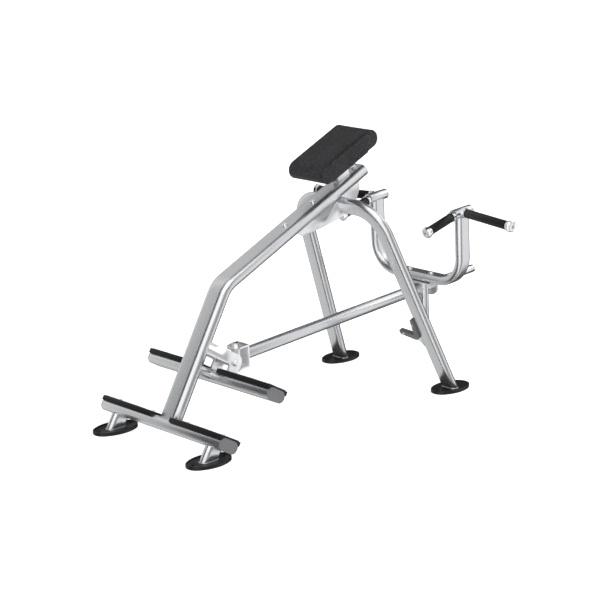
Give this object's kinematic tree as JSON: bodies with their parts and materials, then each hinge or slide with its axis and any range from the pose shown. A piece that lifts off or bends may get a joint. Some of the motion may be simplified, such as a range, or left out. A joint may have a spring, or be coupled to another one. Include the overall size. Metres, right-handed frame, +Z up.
{
  "type": "incline lever row machine",
  "caption": "Free-standing plate-loaded row machine: sloped spine with chest pad and foot bars, and a hinged, swivelling lever with two pairs of handles, a catch and a weight horn.",
  "frame": {"origin": "on the floor under the middle of the machine's box", "axes": "+Z up, +Y to the rear where the weight horn is, +X to the user's right"},
  "size_m": [1.1516, 2.008, 1.1395],
  "materials": {
    "frame_silver": "satin silver powder coat",
    "plate_pale": "pale silver powder coat",
    "chrome": "polished chrome",
    "foot_black": "black moulded, fine texture",
    "grip_black": "black ribbed rubber",
    "cover_black": "black moulded rubber",
    "tread_grey": "brushed, ribbed",
    "cap_grey": "mid-grey moulded",
    "liner_grey": "dark grey rubber",
    "pad_leather": "charcoal grained upholstery",
    "board_wood": "plywood, dark stained",
    "bush_bronze": "plain bearing bronze"
  },
  "bodies": {
    "frame": {"spine_tube": "frame_silver", "spine_end_cap": "plate_pale", "lower_foot_bar": "frame_silver", "upper_foot_bar": "frame_silver", "bar_end_caps": "cap_grey", "foot_grip_lower_left": "cover_black", "foot_grip_lower_right": "cover_black", "foot_grip_upper_left": "cover_black", "foot_grip_upper_right": "cover_black", "tread_plates": "tread_grey", "grip_screws": "chrome", "front_leg_left": "frame_silver", "front_leg_right": "frame_silver", "foot_front_left": "foot_black", "foot_front_right": "foot_black", "foot_rear_left": "foot_black", "foot_rear_right": "foot_black", "rear_arch": "frame_silver", "gusset_left": "plate_pale", "gusset_right": "plate_pale", "spine_bolts": "chrome", "spine_nuts": "chrome", "bar_link_tube": "frame_silver", "pivot_plate_left": "plate_pale", "pivot_plate_right": "plate_pale", "stop_plate": "plate_pale", "stop_bumper": "cover_black", "pivot_pin": "chrome", "pivot_nut": "chrome", "pad_bracket": "plate_pale", "pad_board": "board_wood", "chest_pad": "pad_leather", "pad_screws": "chrome", "catch_plate": "plate_pale", "catch_liner": "liner_grey", "catch_screws": "chrome"},
    "swivel": {"pivot_block": "plate_pale", "pivot_bushes": "bush_bronze", "swivel_bushes": "bush_bronze"},
    "lever": {"yoke": "plate_pale", "swivel_bolt": "chrome", "swivel_nut": "chrome", "lever_tube": "frame_silver", "lever_post": "frame_silver", "post_end_cap": "cap_grey", "plate_stop": "plate_pale", "weight_horn": "chrome", "horn_cap": "plate_pale", "handle_mount": "plate_pale", "handle_frame": "frame_silver", "handle_bolts": "chrome", "cross_head_left": "frame_silver", "cross_head_right": "frame_silver", "grip_rods": "chrome", "outer_grip_left": "grip_black", "outer_grip_right": "grip_black", "inner_grip_left": "grip_black", "inner_grip_right": "grip_black", "grip_collars": "chrome", "end_knobs": "chrome"}
  },
  "joints": [
    {"name": "lever_pitch", "type": "hinge", "parent": "frame", "child": "swivel", "pos_m": [0, -0.53911, 0.27624], "axis": [1, 0, 0], "range_deg": [0, 30]},
    {"name": "lever_swivel", "type": "hinge", "parent": "swivel", "child": "lever", "pos_m": [0, -0.49124, 0.27975], "axis": [0, -0.0732, 0.9973], "range_deg": [-10, 10]}
  ]
}
